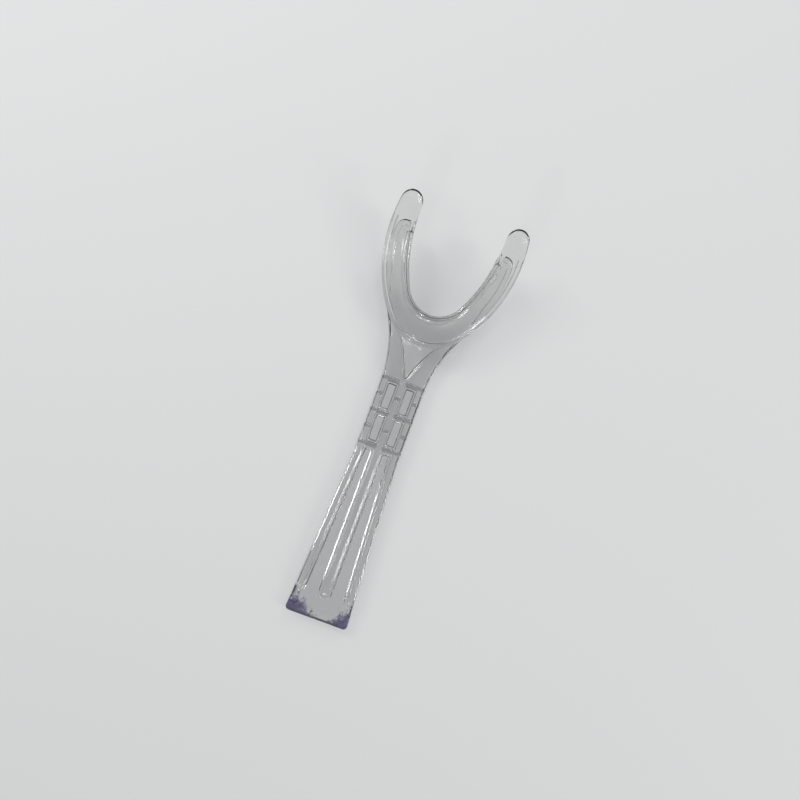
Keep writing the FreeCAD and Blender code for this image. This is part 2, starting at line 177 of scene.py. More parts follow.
THROAT_RADIUS = 11.0
THROAT_ARM_RADIUS = 57.0
THROAT_DEPTH = 38.8
HALF_MOUTH = 16.4
THROAT_Y = tooth_high[1] - THROAT_DEPTH
throat = UEdge(THROAT_RADIUS, THROAT_Y, THROAT_ARM_RADIUS, HALF_MOUTH)
print("the throat is", THROAT_DEPTH, "mm deep and", 2 * HALF_MOUTH, "mm wide")

# %% The rims of both flanges
RIM_RADIUS = 18.0
RIM_ARM_RADIUS = 50.0
setback = tooth_high[0] - skin_high[0]
tooth_rim = UEdge(RIM_RADIUS, tooth_low[1], RIM_ARM_RADIUS, tooth_high[0])
skin_rim = UEdge(RIM_RADIUS - setback, skin_low[1], RIM_ARM_RADIUS - setback, skin_high[0])
print("the skin flange stands", round(setback, 2), "mm back from the tooth flange")

# %% [markdown]
# ## From the grip to the rim
# On the real moulding the grip flares into the head with no corner. The flare is one
# arc that leaves the side of the grip and touches the rim of the skin flange. No
# formula gives its radius straight away, so the cell halves the range again and again
# until the two arcs just touch.

# %% The flare of the neck
FLARE_LEAD = 5.0  # how far below the neck the side starts to curve
LARGEST_RADIUS = 1000.0
HALVINGS = 60


def find_flare(edge):
    """Centre and radius of the arc that leaves the grip and runs into an edge."""
    centre_y = NECK_Y - FLARE_LEAD
    low, high = FLARE_LEAD, LARGEST_RADIUS
    for _ in range(HALVINGS):
        radius = (low + high) / 2
        centre_x = HALF_GRIP + math.sqrt(radius**2 - FLARE_LEAD**2)
        gap = math.hypot(centre_x - edge.arm_centre[0], centre_y - edge.arm_centre[1])
        if gap > radius + edge.arm_radius:
            low = radius
        else:
            high = radius
    return np.array([centre_x, centre_y]), radius


flare_centre, flare_radius = find_flare(skin_rim)
to_flare = flare_centre - skin_rim.arm_centre
flare_end = skin_rim.arm_centre[1] + to_flare[1] * skin_rim.arm_radius / np.hypot(*to_flare)
print("flare radius", round(flare_radius, 1), "mm, touches the rim at y", round(flare_end, 1))

# %% [markdown]
# ## The handle's outline
# Taper, grip and flare are one continuous edge on the real moulding, so one function
# gives the distance to all three. The square end is cut off straight, and its corners
# are rounded.

# %% Outline of the handle and neck
PAD_CORNER = 1.6


def outline(x, y):
    """How far outside the handle and neck each point is, in plan."""
    taper = (x - HALF_GRIP - SLOPE * np.maximum(TAPER_Y - y, 0.0)) / math.hypot(1.0, SLOPE)
    flare = flare_radius - np.hypot(x - flare_centre[0], y - flare_centre[1])
    from_arm = (x - skin_rim.arm_centre[0], y - skin_rim.arm_centre[1])
    past_flare = to_flare[0] * from_arm[1] - to_flare[1] * from_arm[0] > 0.0
    side = np.where(y < NECK_Y, taper, np.where(past_flare, skin_rim.outside(x, y), flare))
    corner_x = side + PAD_CORNER
    corner_y = END_Y - y + PAD_CORNER
    corner = np.hypot(np.maximum(corner_x, 0.0), np.maximum(corner_y, 0.0))
    return corner + np.minimum(np.maximum(corner_x, corner_y), 0.0) - PAD_CORNER


print("square end is", round(2 * (HALF_GRIP + SLOPE * (TAPER_Y - END_Y)), 1), "mm wide")

# %% [markdown]
# ## The bow
# The head follows the cheek, so it bows upwards, and the arms of the neck bow with it.
# Bending a finished mesh would stretch its fillets. The bow is put into the field
# instead, as a cylinder that lies across the part. A point's height is the cylinder's
# radius less the point's distance from its axis, and below the head it is plain height.

# %% Height on the bow
BOW_RADIUS = 110.0
BOW_LEAD = 1.2  # how far below the head the bow starts
SKIN_THICKNESS = 2.0
bow_y = tooth_low[1] - BOW_LEAD
bow_z = MIDDLE_Z - SKIN_THICKNESS / 2 + BOW_RADIUS


def bow_height(y, z):
    """Height of each point above the underside of the skin flange, along the bow."""
    return BOW_RADIUS - np.hypot(np.maximum(y - bow_y, 0.0), z - bow_z)


lift = BOW_RADIUS - math.sqrt(BOW_RADIUS**2 - (tooth_high[1] - bow_y) ** 2)
print("the bow lifts the tips", round(lift, 1), "mm")

# %% [markdown]
# ## Pockets of the handle
# The handle is a thick bar with shallow pockets in both faces, which leave a thin web,
# two side rails and a centre rib. Pockets save plastic and keep the moulding from
# sinking as it cools. Cutting pockets out of one bar is how the mould does it too, and
# it keeps the rails flush with the neck. The bars of the finger grip are what is left
# between the short pockets, and one more pocket thins the crotch of the Y.

# %% Where the pockets lie
ROWS = 5
BAR_WIDTH = 1.5
row_y = np.linspace(ridge_low[1] + BAR_WIDTH / 2, ridge_high[1] - BAR_WIDTH / 2, ROWS)
POCKET_LEAD = 3.0  # how far the long pockets run into the pad, where they slope out
POCKET_CORNER = 0.6
FORK_RADIUS = 50.0
HALF_FORK = 8.8
FORK_OVERRUN = 2.6  # how far the crotch runs on under the head

pocket_ends = [(PAD_TOP_Y - POCKET_LEAD, row_y[0] - BAR_WIDTH / 2)]
for below, above in ((row_y[0], row_y[2]), (row_y[2], row_y[4])):
    pocket_ends.append((below + BAR_WIDTH / 2, above - BAR_WIDTH / 2))


def find_fork():
    """Centre of the arc of the crotch, which curves out from the centre rib."""
    foot = np.array([HALF_RIB, NECK_Y])
    head = np.array([HALF_FORK, tooth_low[1] + FORK_OVERRUN])
    half = (head - foot) / 2
    length = np.hypot(*half)
    turned = np.array([half[1], -half[0]]) / length
    return foot + half + turned * math.sqrt(FORK_RADIUS**2 - length**2)


fork_centre = find_fork()
print("pockets are", [round(float(end - start), 1) for start, end in pocket_ends], "mm long")


# %% Plan of the pockets
def rounded_pocket(*sides):
    """Plan distance of a pocket that lies inside all these sides, corners rounded."""
    inner = [side + POCKET_CORNER for side in sides]
    corner = np.sqrt(sum(np.maximum(side, 0.0) ** 2 for side in inner))
    return corner + np.minimum(np.maximum.reduce(inner), 0.0) - POCKET_CORNER


def pockets(x, y, side):
    """Plan distance of the pockets each side of the rib and of the crotch."""
    from_rib = HALF_RIB - x
    from_rail = side + RAIL_WIDTH
    found = [rounded_pocket(from_rib, from_rail, start - y, y - end) for start, end in pocket_ends]
    from_arm = FORK_RADIUS - np.hypot(x - fork_centre[0], y - fork_centre[1])
    found.append(rounded_pocket(from_arm, NECK_Y - y))
    return np.minimum.reduce(found)


print("channel of the grip is", round(HALF_GRIP - RAIL_WIDTH - HALF_RIB, 2), "mm wide")

# %% [markdown]
# ## The handle as it leaves the mould
# A mould has two halves, and three things on the handle tell where they meet. The
# pocket walls slope a little, which is draft, so that the part slides out. The lower
# half is cut slightly smaller, so the side has a fine step at the parting line, and
# the pockets in the underside are narrower than those above. Seen through clear
# plastic, each of these edges is one more fine line beside the rail.
#
# The pad is thinner than the rails, so it swells into them, and the pockets start with
# a slope. Towards the head the arms thin out and fade into the rim.

# %% The handle
POCKET_FLOOR = 0.4  # fillet between a pocket's walls and its floor
EDGE_ROUNDING = 0.32
SIDE_ROUNDING = 0.5
DRAFT = 0.2  # mm of slope for each mm of depth
LOWER_DRAFT = 0.1
LOWER_INSET = 1.2  # how much narrower the long pockets are in the underside
GRIP_INSET = 0.8
SIDE_STEP = 0.55  # how far the lower half of the side stands in
RIM_THINNING = 0.8  # taken off each face of the neck at the rim
ARM_THINNING = 1.1  # and off each arm of the neck where it ends
RIM_OVERLAP = 1.5  # how far the neck runs in under the skin flange
PARTING = (-0.5, -0.1)  # heights between which the side steps in
STEP_RAMP = (END_Y + 1.0, END_Y + 6.0)
PAD_RAMP = (PAD_TOP_Y, PAD_TOP_Y + 2.6)
FLOOR_RAMP = (PAD_TOP_Y - 1.0, PAD_TOP_Y + 5.0)
RIM_RAMP = (-4.0, 1.0)  # from outside the rim to inside it
ARM_RAMP = (flare_end - 9.0, flare_end)


def handle(x, y, z):
    """The handle and neck, up to the rim of the head."""
    side = outline(x, y)
    inside_rim = -skin_rim.outside(x, y)
    height = bow_height(y, z) - SKIN_THICKNESS / 2
    underside = height < 0.0
    half = HALF_PAD + (HALF_RAIL - HALF_PAD) * ramp(y, *PAD_RAMP)
    half = half - RIM_THINNING * ramp(inside_rim, *RIM_RAMP) - ARM_THINNING * ramp(y, *ARM_RAMP)
    step = SIDE_STEP * (1.0 - ramp(height, *PARTING)) * ramp(y, *STEP_RAMP)
    bar = rounded_plate(side + step, height, half, SIDE_ROUNDING)
    depth = HALF_RAIL - np.abs(height)
    inset = np.where(y < row_y[0], LOWER_INSET, GRIP_INSET) * underside
    draft = np.where(underside, LOWER_DRAFT, DRAFT)
    plan = pockets(x, y, side) + draft * depth + inset
    floor_half = HALF_PAD + (HALF_WEB - HALF_PAD) * ramp(y, *FLOOR_RAMP)
    pocket = soft_cut(plan, np.abs(height) - floor_half, POCKET_FLOOR)
    bar = soft_cut(bar, pocket, EDGE_ROUNDING)
    return np.maximum(np.maximum(bar, inside_rim - RIM_OVERLAP), y - flare_end)


print("rails are", round(2 * HALF_RAIL, 1), "mm thick and the web", round(2 * HALF_WEB, 1), "mm")

# %% [markdown]
# ## Ridges of the grip
# Wet gloves slip on smooth plastic, so low ridges cross the grip in five rows. In
# every other row one long ridge lies over a bar. The rows between have three short
# ridges, on the two rails and on the centre rib. Each is a half-round bead, made as a
# box whose edges are rounded nearly to its middle.

# %% Ridges
BEAD_ROUNDING = 0.5
BEAD_DEPTH = 1.4
LONG_START = 0.8 * HALF_RIB  # just inside the edge of the centre rib
LONG_SPANS = ((LONG_START, HALF_GRIP),)
SHORT_SPANS = ((HALF_GRIP - RAIL_WIDTH, HALF_GRIP), (-HALF_RIB, HALF_RIB))


def bead(x, y, z, inner, outer, middle_y):
    """One ridge across the handle, from inner to outer, standing on the rails."""
    sizes = ((outer - inner) / 2, BAR_WIDTH / 2, BEAD_DEPTH / 2)
    offsets = (x - (inner + outer) / 2, y - middle_y, z - ridge_high[2] + BEAD_DEPTH / 2)
    over = [np.abs(o) - half + BEAD_ROUNDING for o, half in zip(offsets, sizes)]
    corner = np.sqrt(sum(np.maximum(o, 0.0) ** 2 for o in over))
    return corner + np.minimum(np.maximum.reduce(over), 0.0) - BEAD_ROUNDING


def ridges(x, y, z):
    """Every ridge of the grip. The second and fourth rows have the short ones."""
    found = []
    for row, middle_y in enumerate(row_y):
        spans = SHORT_SPANS if row % 2 == 1 else LONG_SPANS
        found += [bead(x, y, z, inner, outer, middle_y) for inner, outer in spans]
    return np.minimum.reduce(found)


print("rows are", round(float(row_y[1] - row_y[0]), 2), "mm apart")

# %% [markdown]
# ## Flanges of the head
# The head is a strip with a C-shaped section: a flange that lies on the skin, a wall,
# and a longer flange that goes between the lip and the teeth. Each is a U in plan, and
# its prongs end in round tips. A tip is a circle that touches both edges of its
# flange, so its radius is found by halving too.


# %% A flange with round tips
class Flange:
    """A U in plan between the throat and an outer edge, with round tips."""

    def __init__(self, outer, end):
        self.outer = outer
        low, high = 0.0, outer.radius
        for _ in range(HALVINGS):
            self.tip_radius = (low + high) / 2
            tip_y = end - self.tip_radius
            spread = throat.arm_radius + self.tip_radius
            inside = math.sqrt(spread**2 - (tip_y - throat.arm_centre[1]) ** 2)
            spread = outer.arm_radius - self.tip_radius
            outside = math.sqrt(spread**2 - (tip_y - outer.arm_centre[1]) ** 2)
            if throat.arm_centre[0] + inside < outer.arm_centre[0] + outside:
                low = self.tip_radius
            else:
                high = self.tip_radius
        self.tip = np.array([throat.arm_centre[0] + inside, tip_y])
        self.from_outer = self.tip - outer.arm_centre
        self.to_throat = throat.arm_centre - self.tip

    def plan(self, x, y, from_throat, wider=0.0):
        """Plan distance: round past the tips, and edge to edge before them."""
        right, up = x - self.tip[0], y - self.tip[1]
        past_outer = self.from_outer[0] * up - self.from_outer[1] * right > 0.0
        past_throat = right * self.to_throat[1] - up * self.to_throat[0] > 0.0
        round_tip = np.hypot(right, up) - self.tip_radius
        between = np.maximum(self.outer.outside(x, y) - wider, -from_throat)
        return np.where(past_outer & past_throat, round_tip, between)


tooth_flange = Flange(tooth_rim, tooth_high[1])
print("tips are", round(2 * tooth_flange.tip_radius, 1), "mm across")

# %% The wall and the skin flange
WALL_THICKNESS = 1.8
NARROWING = 1.7  # the skin flange is this much slimmer along the prongs
wall_end = region("channel_wall")[1][1]
wall_back = UEdge(
    THROAT_RADIUS + WALL_THICKNESS,
    THROAT_Y - WALL_THICKNESS,
    THROAT_ARM_RADIUS + WALL_THICKNESS,
    HALF_MOUTH + WALL_THICKNESS,
)
slim_rim = UEdge(
    skin_rim.radius - NARROWING,
    skin_low[1] + NARROWING,
    skin_rim.arm_radius - NARROWING,
    skin_high[0] - NARROWING,
)
wall = Flange(wall_back, wall_end)
skin_flange = Flange(slim_rim, skin_high[1])
print("tips of the skin flange are", round(2 * skin_flange.tip_radius, 1), "mm across")

# %% [markdown]
# ## Rolled rims
# The edge of each flange touches lip and gum, so it is rolled like a wire, with a
# shallow groove behind the roll. In clear plastic the roll bends light into the fine
# pair of lines that runs round the head. A round bar joined to a slightly thinned
# plate gives both, and the groove fades towards the tips.

# %% A flange with a rolled rim
RIM_ROUNDING = 0.45
ROLL_RADIUS = 0.95
ROLL_FILLET = 0.12
GROOVE = 0.45  # depth in each face of a flange
GROOVE_FADE = 0.65  # how much of it is gone at the tips
GROOVE_RAMP = (1.75, 2.3)  # how far in from the edge the groove ends
TIP_RAMP = (wall_end - 8.0, wall_end + 2.0)


def rolled_plate(plan, height, half, y):
    """A flange with a plan distance and a height above its middle, its rim rolled."""
    groove = GROOVE * (1.0 - GROOVE_FADE * ramp(y, *TIP_RAMP))
    thinned = half - groove * (1.0 - ramp(-plan, *GROOVE_RAMP))
    plate = rounded_plate(plan, height, thinned, RIM_ROUNDING)
    roll = np.hypot(plan + ROLL_RADIUS, height) - ROLL_RADIUS
    return soft_join(plate, roll, ROLL_FILLET)


print("rolled rims are", 2 * ROLL_RADIUS, "mm thick")

# %% [markdown]
# ## The head in section
# Wall and flanges are stacked by their height on the bow: skin flange, channel, tooth
# flange. The fillets are on the channel's side of the wall only, because on the
# throat's side all three are flush. The ends of the wall lean back, so that the
# channel opens gently, and the skin flange grows slimmer along the prongs.

# %% The head
TOOTH_THICKNESS = 1.8
CHANNEL_GAP = 7.0
WALL_ROUNDING = 0.25
WALL_LEAN = -0.5  # mm along the prong for each mm of height
THROAT_FILLET = 0.05
CHANNEL_FILLET = 1.3
LEAN_RAMP = (wall_end - 16.0, wall_end - 4.0)
SLIM_RAMP = (flare_end - 2.0, flare_end + 12.0)
FILLET_RAMP = (0.4, WALL_THICKNESS)  # how far from the throat the fillets grow


def head(x, y, z):
    """The two flanges and the wall between them, on the bow."""
    height = bow_height(y, z)
    from_throat = throat.outside(x, y)
    fillet = THROAT_FILLET + CHANNEL_FILLET * ramp(from_throat, *FILLET_RAMP)
    bottom = SKIN_THICKNESS / 2
    top = SKIN_THICKNESS + CHANNEL_GAP
    lean = WALL_LEAN * height * ramp(y, *LEAN_RAMP)
    plan = wall.plan(x, y - lean, from_throat)
    found = rounded_plate(plan, height - (top + bottom) / 2, (top - bottom) / 2, WALL_ROUNDING)
    wider = NARROWING * (1.0 - ramp(y, *SLIM_RAMP))
    plan = skin_flange.plan(x, y, from_throat, wider)
    found = soft_join(found, rolled_plate(plan, height - bottom, bottom, y), fillet)
    plan = tooth_flange.plan(x, y, from_throat)
    middle = top + TOOTH_THICKNESS / 2
    return soft_join(found, rolled_plate(plan, height - middle, TOOTH_THICKNESS / 2, y), fillet)


print("the head is", SKIN_THICKNESS + CHANNEL_GAP + TOOTH_THICKNESS, "mm deep")

# %% [markdown]
# ## The whole moulding
# Handle, ridges and head join with fillets of their own. The moulding is symmetric, so
# the fields only ever see the distance from the axis.

# %% One field for the whole moulding
BEAD_FILLET = 0.12
NECK_FILLET = 0.9
NECK_FADE = 0.8  # how much of the neck's fillet is gone where the arms end
NECK_RAMP = (flare_end - 10.0, flare_end)


def moulding(points):
    """Distance to the surface of the moulding for rows of x, y, z in millimetres."""
    x, y, z = np.abs(points[:, 0]), points[:, 1], points[:, 2]
    lower = soft_join(handle(x, y, z), ridges(x, y, z), BEAD_FILLET)
    fillet = NECK_FILLET * (1.0 - NECK_FADE * ramp(y, *NECK_RAMP))
    return soft_join(lower, head(x, y, z), fillet)


in_rail = np.array([[HALF_GRIP - RAIL_WIDTH / 2, TAPER_Y, MIDDLE_Z]])
print("the middle of a rail is", round(float(-moulding(in_rail)[0]), 2), "mm inside the skin")

# %% [markdown]
# ## From field to mesh
# A field becomes a mesh by sampling it on a grid and drawing the surface where it
# crosses zero. Most of the box is empty, so a coarse grid finds the blocks worth
# sampling finely. The grid library that comes with Blender draws the quads. They land
# a few hundredths of a millimetre off, which polished plastic would show as ripples,
# so each point then slides along the field's slope until it lies on the surface.

# %% Sample the field
VOXEL = 0.25
BLOCK = 8  # voxels along the side of a coarse block
CHUNK = 400_000  # points worked out at once, to spare memory
MARGIN = 1.0
box_low = np.array(cad_box[0]) * MM - MARGIN
box_high = np.array(cad_box[1]) * MM + MARGIN
blocks = np.ceil((box_high - box_low) / (VOXEL * BLOCK)).astype(int)


def in_chunks(points):
    """The moulding's distance at any number of points."""
    starts = range(0, len(points), CHUNK)
    return np.concatenate([moulding(points[start : start + CHUNK]) for start in starts])


def grid_points(cells, step, offset):
    """Places of grid cells in millimetres, offset by a share of a step."""
    return (cells + offset) * step + box_low


cells = np.argwhere(np.ones(blocks, dtype=bool))
middles = in_chunks(grid_points(cells, VOXEL * BLOCK, 0.5))
near = (middles < VOXEL * BLOCK).reshape(blocks)
for axis in range(3):
    near = near.repeat(BLOCK, axis=axis)
band = 4 * VOXEL
samples = np.full(near.shape, band, dtype=np.float32)
samples[near] = np.clip(in_chunks(grid_points(np.argwhere(near), VOXEL, 0.0)), -band, band)
print("sampled", int(near.sum()), "of", near.size, "grid points")

# %% Draw the surface and settle its points
SLOPE_STEP = 0.02  # half the distance over which the slope is measured
LEAST_SLOPE = 0.05  # squared, and it keeps a nearly flat field from throwing a point
SETTLINGS = 3
grid = openvdb.FloatGrid(band)
grid.copyFromArray(samples)
corners, quads = grid.convertToQuads(0.0)
corners = corners.astype(float) * VOXEL + box_low


def field_slope(points):
    """Which way the field rises fastest at each point, and how fast."""
    rise = np.zeros_like(points)
    for axis in range(3):
        shift = np.zeros(3)
        shift[axis] = SLOPE_STEP
        rise[:, axis] = (in_chunks(points + shift) - in_chunks(points - shift)) / (2 * SLOPE_STEP)
    return rise


for _ in range(SETTLINGS):
    rise = field_slope(corners)
    steepness = np.maximum((rise**2).sum(axis=1), LEAST_SLOPE)
    move = in_chunks(corners) / steepness
    corners -= rise * np.clip(move, -VOXEL, VOXEL)[:, None]
print("quads", len(quads), "largest miss in mm", float(np.abs(in_chunks(corners)).max()))

# %% [markdown]
# ## The object
# A mesh of flat quads would glint like a cut stone. The slope of the field is also the
# exact direction that each point of the surface faces, so it goes in as custom
# normals. The skin then rides on the body of the frame and stands for every region.

# %% Make the object
normals = field_slope(corners)
normals /= np.linalg.norm(normals, axis=1)[:, None]
mesh = bpy.data.meshes.new("retractor_moulding")
mesh.from_pydata(corners / MM, [], quads.tolist())
mesh.shade_smooth()
mesh.normals_split_custom_set_from_vertices(normals.tolist())
retractor = bpy.data.objects.new("retractor_moulding", mesh)
bpy.context.scene.collection.objects.link(retractor)
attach(retractor, "root")
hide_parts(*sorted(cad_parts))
print("the skin stands for", len(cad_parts), "regions")


# %% [markdown]
# ## Building materials from nodes
# A material is a tree of nodes. Written out one call at a time it hides what it does,
# so six small helpers add a node, link nodes, feed sockets, calculate, map a range and
# mix two colours.


# %% Helpers for nodes
def add(tree, kind, **settings):
    """Add a node. Settings are its properties, or values of its inputs by name."""
    node = tree.nodes.new(kind)
    for name, value in settings.items():
        if hasattr(node, name):
            setattr(node, name, value)
        else:
            node.inputs[name.replace("_", " ")].default_value = value
    return node


def wire(tree, *pairs):
    """Link outputs to inputs, given as (node, output name), (node, input name)."""
    for (start, out), (end, into) in pairs:
        tree.links.new(start.outputs[out], end.inputs[into])


def feed(tree, sockets, values):
    """Give each input socket a number, a colour or another node's output."""
    for socket, value in zip(sockets, values):
        if isinstance(value, bpy.types.NodeSocket):
            tree.links.new(value, socket)
        else:
            socket.default_value = value


def calculate(tree, operation, *values):
    """A Math node. Each value is a number or an output socket."""
    node = add(tree, "ShaderNodeMath", operation=operation)
    feed(tree, node.inputs, values)
    return node.outputs[0]


print("helpers: add, wire, feed, calculate")


# %% Helpers for masks and colours
COLOUR_MIX = (0, 6, 7)  # a Mix node's sockets for colours: factor, first and second
COLOUR_RESULT = 2


def map_range(tree, source, start, end, low=0.0, high=1.0, step="SMOOTHSTEP"):
    """Take source from start and end to low and high."""
    node = add(tree, "ShaderNodeMapRange", interpolation_type=step)
    names = ("Value", "From Min", "From Max", "To Min", "To Max")
    feed(tree, [node.inputs[name] for name in names], (source, start, end, low, high))
    return node.outputs["Result"]


def mix_colours(tree, share, first, second):
    """first where share is 0 and second where it is 1."""
    node = add(tree, "ShaderNodeMix", data_type="RGBA")
    feed(tree, [node.inputs[index] for index in COLOUR_MIX], (share, first, second))
    return node.outputs[COLOUR_RESULT]


print("helpers: map_range, mix_colours")

# %% [markdown]
# ## Clear polycarbonate
# Polycarbonate is glass-like, with an index of refraction of 1.585, so a full
# Transmission Weight is right, and reflections come from the shader. What keeps it from
# looking like perfect glass is the moulding. Plastic flows in through the handle and
# leaves faint ripples, longer along the part than across it. They go into the Normal
# through Bump. Handling leaves a haze, which is a patchy Roughness.

# %% Ripples and haze
POLYCARBONATE_IOR = 1.585
RIPPLE_SCALE = (160.0, 45.0, 160.0)  # fewer ripples along the part than across it
RIPPLE_HEIGHT = 0.00012
HAZE = (0.35, 0.75)  # the noise that counts as clear, and as haziest
HAZE_ROUGHNESS = (0.015, 0.09)

plastic = bpy.data.materials.new("clear_polycarbonate")
plastic.use_nodes = True
tree = plastic.node_tree
tree.nodes.clear()
place = add(tree, "ShaderNodeTexCoord")
shader = add(tree, "ShaderNodeBsdfPrincipled", IOR=POLYCARBONATE_IOR, Transmission_Weight=1.0)

stretch = add(tree, "ShaderNodeMapping", Scale=RIPPLE_SCALE)
ripple = add(tree, "ShaderNodeTexNoise", Scale=1.0, Detail=2.0, Roughness=0.45)
bump = add(tree, "ShaderNodeBump", Strength=1.0, Distance=RIPPLE_HEIGHT)
haze = add(tree, "ShaderNodeTexNoise", Scale=260.0, Detail=3.0, Roughness=0.6)
wire(
    tree,
    ((place, "Object"), (stretch, "Vector")),
    ((stretch, "Vector"), (ripple, "Vector")),
    ((ripple, "Fac"), (bump, "Height")),
    ((bump, "Normal"), (shader, "Normal")),
    ((place, "Object"), (haze, "Vector")),
)
hazy = map_range(tree, haze.outputs["Fac"], *HAZE, *HAZE_ROUGHNESS, step="LINEAR")
tree.links.new(hazy, shader.inputs["Roughness"])
print("ripples are up to", round(RIPPLE_HEIGHT * MM, 3), "mm high")

# %% [markdown]
# ## Violet corners
# The square end has a violet stain in both corners. It isn't a separate piece, so the
# material works it out from position. Each point has a reach: its share of the way
# along the end plus its share of the way up the side. Noise added to the reach tears
# the boundary, and a second noise mottles the stain between two violets.

# %% Where the stain lies
STAIN_UP = 0.0092
STAIN_LEFT = 0.0128
STAIN_RIGHT = 0.0086
TEAR = 2.6  # how strongly the noise moves the boundary
STAIN_BOUNDARY = (2.0, 2.3)

where = add(tree, "ShaderNodeSeparateXYZ")
torn = add(tree, "ShaderNodeTexNoise", Scale=480.0, Detail=5.0, Roughness=0.7)
wire(tree, ((place, "Object"), (where, "Vector")), ((place, "Object"), (torn, "Vector")))
half_pad = float(pad_high[0]) / MM
up_side = calculate(tree, "ADD", where.outputs["Y"], -float(END_Y) / MM)
from_left = calculate(tree, "ADD", where.outputs["X"], half_pad)
from_right = calculate(tree, "SUBTRACT", half_pad, where.outputs["X"])
reach_left = calculate(tree, "DIVIDE", from_left, STAIN_LEFT)
reach_right = calculate(tree, "DIVIDE", from_right, STAIN_RIGHT)
reach_up = calculate(tree, "DIVIDE", up_side, STAIN_UP)
nearest = calculate(tree, "MINIMUM", reach_left, reach_right)
reach = calculate(tree, "ADD", nearest, reach_up)
reach = calculate(tree, "MULTIPLY_ADD", torn.outputs["Fac"], TEAR, reach)
stained = map_range(tree, reach, *STAIN_BOUNDARY, 1.0, 0.0)
print("stain reaches", STAIN_UP * MM, "mm up the sides")

# %% [markdown]
# ## Painted shade on the ridges, and one base colour
# Two more marks depend on position, and both are painted shade. The tops of the ridges are painted
# grey, standing in for the dark bars that the ridges show by bending the dark room into view. A
# painted dark line runs along the edge of the square end, standing in for the dark outline that
# the edge shows.
# Each mark is a mask from 0 to 1. The masks mix the colours one over the other, and the last mix
# is the Base Color.

# %% Base colour
CLEAR = (0.94, 0.942, 0.94, 1.0)
# painted shade: the ridge tops are greyed in place of the dark bars that refraction gives them
PAINTED_RIDGE_SHADE = (0.42, 0.42, 0.43, 1.0)
DARK_VIOLET = (0.15, 0.135, 0.26, 1.0)
PALE_VIOLET = (0.27, 0.25, 0.40, 1.0)
# painted shade: a dark line along the edge of the square end, in place of the dark outline that
# the edge shows
PAINTED_EDGE_SHADE = (0.16, 0.155, 0.19, 1.0)
PAINTED_LINE_WIDTH = 0.0005  # width of the line at its darkest, which fades over as much again
MOTTLE = (0.42, 0.62)  # the noise at which the stain is darkest, and palest
CREST_MARGINS = (0.05, 0.2)  # below the top of the rails, and of the ridges, in mm
crest_low = float(rail_high[2] - CREST_MARGINS[0]) / MM
crest_high = float(ridge_high[2] - CREST_MARGINS[1]) / MM

# painted shade on the ridges: it grows from near the top of the rails to near the top of the
# ridges, and only before the head
ridge_shade_ramp = map_range(tree, where.outputs["Z"], crest_low, crest_high)
before_head = calculate(tree, "LESS_THAN", where.outputs["Y"], float(NECK_Y) / MM)
painted_ridge_shade = calculate(tree, "MULTIPLY", ridge_shade_ramp, before_head)
# mask of the painted dark line at the end of the pad
painted_edge_line = map_range(tree, up_side, PAINTED_LINE_WIDTH, 2 * PAINTED_LINE_WIDTH, 1.0, 0.0)
mottle = map_range(tree, haze.outputs["Fac"], *MOTTLE, step="LINEAR")
violet = mix_colours(tree, mottle, DARK_VIOLET, PALE_VIOLET)
colour = mix_colours(tree, painted_ridge_shade, CLEAR, PAINTED_RIDGE_SHADE)
colour = mix_colours(tree, stained, colour, violet)
colour = mix_colours(tree, painted_edge_line, colour, PAINTED_EDGE_SHADE)
tree.links.new(colour, shader.inputs["Base Color"])
print("ridges are grey above", round(crest_low * MM, 2), "mm")

# %% [markdown]
# ## Light through the plastic
# Glass blocks the rays that lamps send, so its shadow would be as black as a stone's,
# and light bounced off the floor would be blocked too. The usual way out is to look at
# Light Path. For shadow rays and diffuse rays the surface is a slightly grey
# Transparent shader, so the floor below stays light. Absorption in the volume makes
# thick places darker than thin ones, as in real plastic.

# %% Shadow, absorption and output
SHADOW_TINT = (0.88, 0.88, 0.885, 1.0)
ABSORPTION_TINT = (0.5, 0.5, 0.5, 1.0)
ABSORPTION = 45.0

output = add(tree, "ShaderNodeOutputMaterial")
path = add(tree, "ShaderNodeLightPath")
through = add(tree, "ShaderNodeBsdfTransparent", Color=SHADOW_TINT)
depth = add(tree, "ShaderNodeVolumeAbsorption", Color=ABSORPTION_TINT, Density=ABSORPTION)
choose = add(tree, "ShaderNodeMixShader")
lit = calculate(tree, "MAXIMUM", path.outputs["Is Shadow Ray"], path.outputs["Is Diffuse Ray"])
tree.links.new(lit, choose.inputs[0])
wire(
    tree,
    ((shader, "BSDF"), (choose, 1)),
    ((through, "BSDF"), (choose, 2)),
    ((choose, "Shader"), (output, "Surface")),
    ((depth, "Volume"), (output, "Volume")),
)
mesh.materials.append(plastic)
print("material has", len(tree.nodes), "nodes")

# %% [markdown]
# ## Floor and light
# Clear plastic has no colour of its own. It shows the floor below, the lamps above and
# whatever is dark around it, bent at each edge. So a pale floor gives the body, soft
# lamps give the white lines, and a grey room gives the dark ones.

# %% Floor
FLOOR_COLOUR = (0.78, 0.785, 0.79, 1.0)
FLOOR_Z = -0.0003  # just under the part, because two faces in one plane flicker
bpy.ops.mesh.primitive_circle_add(vertices=96, radius=4.0, fill_type="NGON")
floor = bpy.context.object
floor.name = "floor"
floor.location.z = FLOOR_Z
paper = bpy.data.materials.new("pale_floor")
paper.use_nodes = True
paper_shader = paper.node_tree.nodes["Principled BSDF"]
paper_shader.inputs["Base Color"].default_value = FLOOR_COLOUR
paper_shader.inputs["Roughness"].default_value = 0.9
floor.data.materials.append(paper)
print("floor is", [round(size, 1) for size in floor.dimensions[:2]], "m")

# %% [markdown]
# ## Lamps and room
# Four small soft lamps stand round the part, each aimed at its middle. Small lamps keep
# the white lines thin. The room is a gradient by height: mid grey at the horizon, dark
# from a little above it, and slightly lighter straight overhead.


